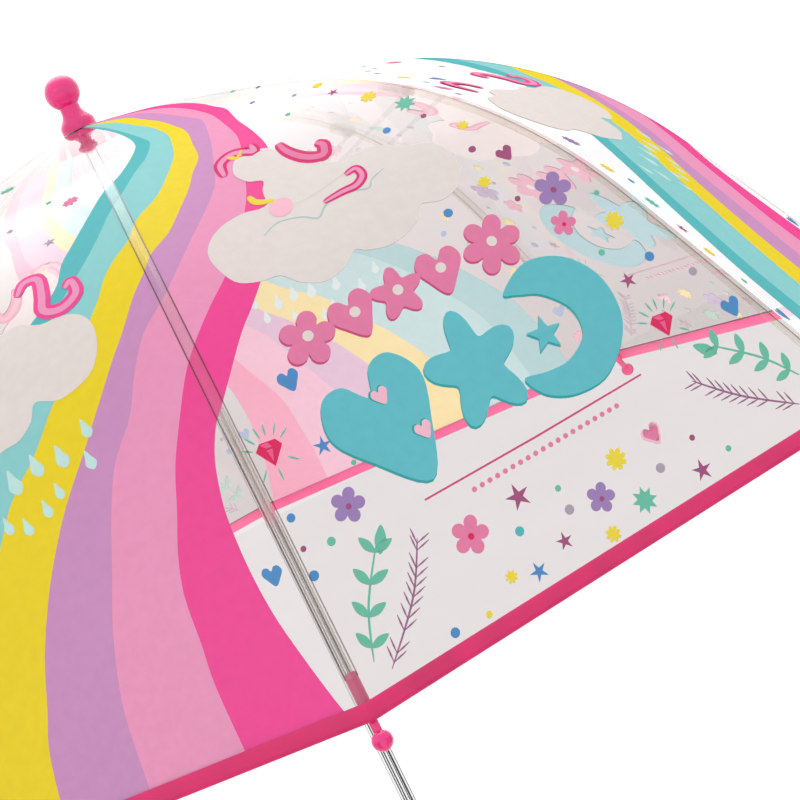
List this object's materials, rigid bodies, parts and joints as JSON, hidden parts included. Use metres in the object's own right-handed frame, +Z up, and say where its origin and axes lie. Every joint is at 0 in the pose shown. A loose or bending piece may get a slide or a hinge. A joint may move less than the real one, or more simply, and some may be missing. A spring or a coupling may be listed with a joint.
{
  "type": "children's umbrella",
  "caption": "Child's clear dome umbrella with a printed film canopy, pink hem, ball tips, chrome shaft and crook handle; the ribs fold down along the shaft.",
  "frame": {"origin": "on the shaft's axis in the middle of the hand grip", "axes": "+Z up the shaft towards the finial, rib 1 towards -Y, crook of the handle towards +X"},
  "size_m": [0.718, 0.718, 0.6557],
  "materials": {
    "chrome_tube": "polished plated steel",
    "ring_wire": "drawn wire",
    "spring_steel": "bright spring steel",
    "strut_wire": "pale coated wire",
    "clear_fibreglass": "translucent fibreglass rod",
    "clear_moulding": "milky moulded plastic",
    "pink_moulding": "hot pink moulded plastic",
    "printed_film": "clear film with opaque printed bands"
  },
  "bodies": {
    "root": {"shaft": "chrome_tube", "crown": "pink_moulding", "crown_ring": "ring_wire", "crown_rosette": "pink_moulding", "finial": "pink_moulding", "handle": "pink_moulding", "handle_collar": "pink_moulding"},
    "rib_1": {"upper_rib_1": "clear_fibreglass", "rib_joint_1": "clear_moulding", "canopy_section_1": "printed_film"},
    "rib_end_1": {"lower_rib_1": "clear_fibreglass", "rib_tip_1": "pink_moulding"},
    "strut_1": {"stretcher_1": "strut_wire"},
    "rib_2": {"upper_rib_2": "clear_fibreglass", "rib_joint_2": "clear_moulding", "canopy_section_2": "printed_film"},
    "rib_end_2": {"lower_rib_2": "clear_fibreglass", "rib_tip_2": "pink_moulding"},
    "strut_2": {"stretcher_2": "strut_wire"},
    "rib_3": {"upper_rib_3": "clear_fibreglass", "rib_joint_3": "clear_moulding", "canopy_section_3": "printed_film"},
    "rib_end_3": {"lower_rib_3": "clear_fibreglass", "rib_tip_3": "pink_moulding"},
    "strut_3": {"stretcher_3": "strut_wire"},
    "rib_4": {"upper_rib_4": "clear_fibreglass", "rib_joint_4": "clear_moulding", "canopy_section_4": "printed_film"},
    "rib_end_4": {"lower_rib_4": "clear_fibreglass", "rib_tip_4": "pink_moulding"},
    "strut_4": {"stretcher_4": "strut_wire"},
    "rib_5": {"upper_rib_5": "clear_fibreglass", "rib_joint_5": "clear_moulding", "canopy_section_5": "printed_film"},
    "rib_end_5": {"lower_rib_5": "clear_fibreglass", "rib_tip_5": "pink_moulding"},
    "strut_5": {"stretcher_5": "strut_wire"},
    "rib_6": {"upper_rib_6": "clear_fibreglass", "rib_joint_6": "clear_moulding", "canopy_section_6": "printed_film"},
    "rib_end_6": {"lower_rib_6": "clear_fibreglass", "rib_tip_6": "pink_moulding"},
    "strut_6": {"stretcher_6": "strut_wire"},
    "rib_7": {"upper_rib_7": "clear_fibreglass", "rib_joint_7": "clear_moulding", "canopy_section_7": "printed_film"},
    "rib_end_7": {"lower_rib_7": "clear_fibreglass", "rib_tip_7": "pink_moulding"},
    "strut_7": {"stretcher_7": "strut_wire"},
    "rib_8": {"upper_rib_8": "clear_fibreglass", "rib_joint_8": "clear_moulding", "canopy_section_8": "printed_film"},
    "rib_end_8": {"lower_rib_8": "clear_fibreglass", "rib_tip_8": "pink_moulding"},
    "strut_8": {"stretcher_8": "strut_wire"},
    "runner": {"runner": "pink_moulding", "runner_ring": "ring_wire"},
    "top_catch": {"top_catch": "spring_steel"},
    "bottom_catch": {"bottom_catch": "spring_steel"}
  },
  "joints": [
    {"name": "canopy_fold", "type": "hinge", "parent": "root", "child": "rib_1", "pos_m": [0, -0.009, 0.55726], "axis": [1, 0, 0], "range_deg": [0, 71], "deforming": ["canopy_section_1", "top_catch", "bottom_catch"]},
    {"name": "rib_bend_1", "type": "hinge", "parent": "rib_1", "child": "rib_end_1", "pos_m": [0, -0.20114, 0.50226], "axis": [1, 0, 0], "range_deg": [-41.89, 0]},
    {"name": "strut_fold_1", "type": "hinge", "parent": "rib_1", "child": "strut_1", "pos_m": [0, -0.20114, 0.50226], "axis": [1, 0, 0], "range_deg": [-142, 0]},
    {"name": "rib_fold_2", "type": "hinge", "parent": "root", "child": "rib_2", "pos_m": [0.00636, -0.00636, 0.55726], "axis": [0.7071, 0.7071, 0], "range_deg": [0, 71], "deforming": ["canopy_section_2"]},
    {"name": "rib_bend_2", "type": "hinge", "parent": "rib_2", "child": "rib_end_2", "pos_m": [0.14222, -0.14222, 0.50226], "axis": [0.7071, 0.7071, 0], "range_deg": [-41.89, 0]},
    {"name": "strut_fold_2", "type": "hinge", "parent": "rib_2", "child": "strut_2", "pos_m": [0.14222, -0.14222, 0.50226], "axis": [0.7071, 0.7071, 0], "range_deg": [-142, 0]},
    {"name": "rib_fold_3", "type": "hinge", "parent": "root", "child": "rib_3", "pos_m": [0.009, 0, 0.55726], "axis": [0, 1, 0], "range_deg": [0, 71], "deforming": ["canopy_section_3"]},
    {"name": "rib_bend_3", "type": "hinge", "parent": "rib_3", "child": "rib_end_3", "pos_m": [0.20114, 0, 0.50226], "axis": [0, 1, 0], "range_deg": [-41.89, 0]},
    {"name": "strut_fold_3", "type": "hinge", "parent": "rib_3", "child": "strut_3", "pos_m": [0.20114, 0, 0.50226], "axis": [0, 1, 0], "range_deg": [-142, 0]},
    {"name": "rib_fold_4", "type": "hinge", "parent": "root", "child": "rib_4", "pos_m": [0.00636, 0.00636, 0.55726], "axis": [-0.7071, 0.7071, 0], "range_deg": [0, 71], "deforming": ["canopy_section_4"]},
    {"name": "rib_bend_4", "type": "hinge", "parent": "rib_4", "child": "rib_end_4", "pos_m": [0.14222, 0.14222, 0.50226], "axis": [-0.7071, 0.7071, 0], "range_deg": [-41.89, 0]},
    {"name": "strut_fold_4", "type": "hinge", "parent": "rib_4", "child": "strut_4", "pos_m": [0.14222, 0.14222, 0.50226], "axis": [-0.7071, 0.7071, 0], "range_deg": [-142, 0]},
    {"name": "rib_fold_5", "type": "hinge", "parent": "root", "child": "rib_5", "pos_m": [0, 0.009, 0.55726], "axis": [-1, 0, 0], "range_deg": [0, 71], "deforming": ["canopy_section_5"]},
    {"name": "rib_bend_5", "type": "hinge", "parent": "rib_5", "child": "rib_end_5", "pos_m": [0, 0.20114, 0.50226], "axis": [-1, 0, 0], "range_deg": [-41.89, 0]},
    {"name": "strut_fold_5", "type": "hinge", "parent": "rib_5", "child": "strut_5", "pos_m": [0, 0.20114, 0.50226], "axis": [-1, 0, 0], "range_deg": [-142, 0]},
    {"name": "rib_fold_6", "type": "hinge", "parent": "root", "child": "rib_6", "pos_m": [-0.00636, 0.00636, 0.55726], "axis": [-0.7071, -0.7071, 0], "range_deg": [0, 71], "deforming": ["canopy_section_6"]},
    {"name": "rib_bend_6", "type": "hinge", "parent": "rib_6", "child": "rib_end_6", "pos_m": [-0.14222, 0.14222, 0.50226], "axis": [-0.7071, -0.7071, 0], "range_deg": [-41.89, 0]},
    {"name": "strut_fold_6", "type": "hinge", "parent": "rib_6", "child": "strut_6", "pos_m": [-0.14222, 0.14222, 0.50226], "axis": [-0.7071, -0.7071, 0], "range_deg": [-142, 0]},
    {"name": "rib_fold_7", "type": "hinge", "parent": "root", "child": "rib_7", "pos_m": [-0.009, 0, 0.55726], "axis": [0, -1, 0], "range_deg": [0, 71], "deforming": ["canopy_section_7"]},
    {"name": "rib_bend_7", "type": "hinge", "parent": "rib_7", "child": "rib_end_7", "pos_m": [-0.20114, 0, 0.50226], "axis": [0, -1, 0], "range_deg": [-41.89, 0]},
    {"name": "strut_fold_7", "type": "hinge", "parent": "rib_7", "child": "strut_7", "pos_m": [-0.20114, 0, 0.50226], "axis": [0, -1, 0], "range_deg": [-142, 0]},
    {"name": "rib_fold_8", "type": "hinge", "parent": "root", "child": "rib_8", "pos_m": [-0.00636, -0.00636, 0.55726], "axis": [0.7071, -0.7071, 0], "range_deg": [0, 71], "deforming": ["canopy_section_8"]},
    {"name": "rib_bend_8", "type": "hinge", "parent": "rib_8", "child": "rib_end_8", "pos_m": [-0.14222, -0.14222, 0.50226], "axis": [0.7071, -0.7071, 0], "range_deg": [-41.89, 0]},
    {"name": "strut_fold_8", "type": "hinge", "parent": "rib_8", "child": "strut_8", "pos_m": [-0.14222, -0.14222, 0.50226], "axis": [0.7071, -0.7071, 0], "range_deg": [-142, 0]},
    {"name": "runner_level", "type": "hinge", "parent": "strut_1", "child": "runner", "pos_m": [0, -0.009, 0.44726], "axis": [1, 0, 0], "range_deg": [0, 71]},
    {"name": "top_catch_press", "type": "slide", "parent": "root", "child": "top_catch", "axis": [0, -1, 0], "range_m": [0, 0.0022], "stiffness_N_per_m": 400},
    {"name": "bottom_catch_press", "type": "slide", "parent": "root", "child": "bottom_catch", "axis": [0, -1, 0], "range_m": [0, 0.0022], "stiffness_N_per_m": 400}
  ],
  "couplings": [
    {"joint": "rib_bend_1", "follows": "canopy_fold", "ratio": -0.59},
    {"joint": "strut_fold_1", "follows": "canopy_fold", "ratio": -2},
    {"joint": "rib_fold_2", "follows": "canopy_fold", "ratio": 1},
    {"joint": "rib_bend_2", "follows": "canopy_fold", "ratio": -0.59},
    {"joint": "strut_fold_2", "follows": "canopy_fold", "ratio": -2},
    {"joint": "rib_fold_3", "follows": "canopy_fold", "ratio": 1},
    {"joint": "rib_bend_3", "follows": "canopy_fold", "ratio": -0.59},
    {"joint": "strut_fold_3", "follows": "canopy_fold", "ratio": -2},
    {"joint": "rib_fold_4", "follows": "canopy_fold", "ratio": 1},
    {"joint": "rib_bend_4", "follows": "canopy_fold", "ratio": -0.59},
    {"joint": "strut_fold_4", "follows": "canopy_fold", "ratio": -2},
    {"joint": "rib_fold_5", "follows": "canopy_fold", "ratio": 1},
    {"joint": "rib_bend_5", "follows": "canopy_fold", "ratio": -0.59},
    {"joint": "strut_fold_5", "follows": "canopy_fold", "ratio": -2},
    {"joint": "rib_fold_6", "follows": "canopy_fold", "ratio": 1},
    {"joint": "rib_bend_6", "follows": "canopy_fold", "ratio": -0.59},
    {"joint": "strut_fold_6", "follows": "canopy_fold", "ratio": -2},
    {"joint": "rib_fold_7", "follows": "canopy_fold", "ratio": 1},
    {"joint": "rib_bend_7", "follows": "canopy_fold", "ratio": -0.59},
    {"joint": "strut_fold_7", "follows": "canopy_fold", "ratio": -2},
    {"joint": "rib_fold_8", "follows": "canopy_fold", "ratio": 1},
    {"joint": "rib_bend_8", "follows": "canopy_fold", "ratio": -0.59},
    {"joint": "strut_fold_8", "follows": "canopy_fold", "ratio": -2},
    {"joint": "runner_level", "follows": "canopy_fold", "ratio": 1}
  ]
}
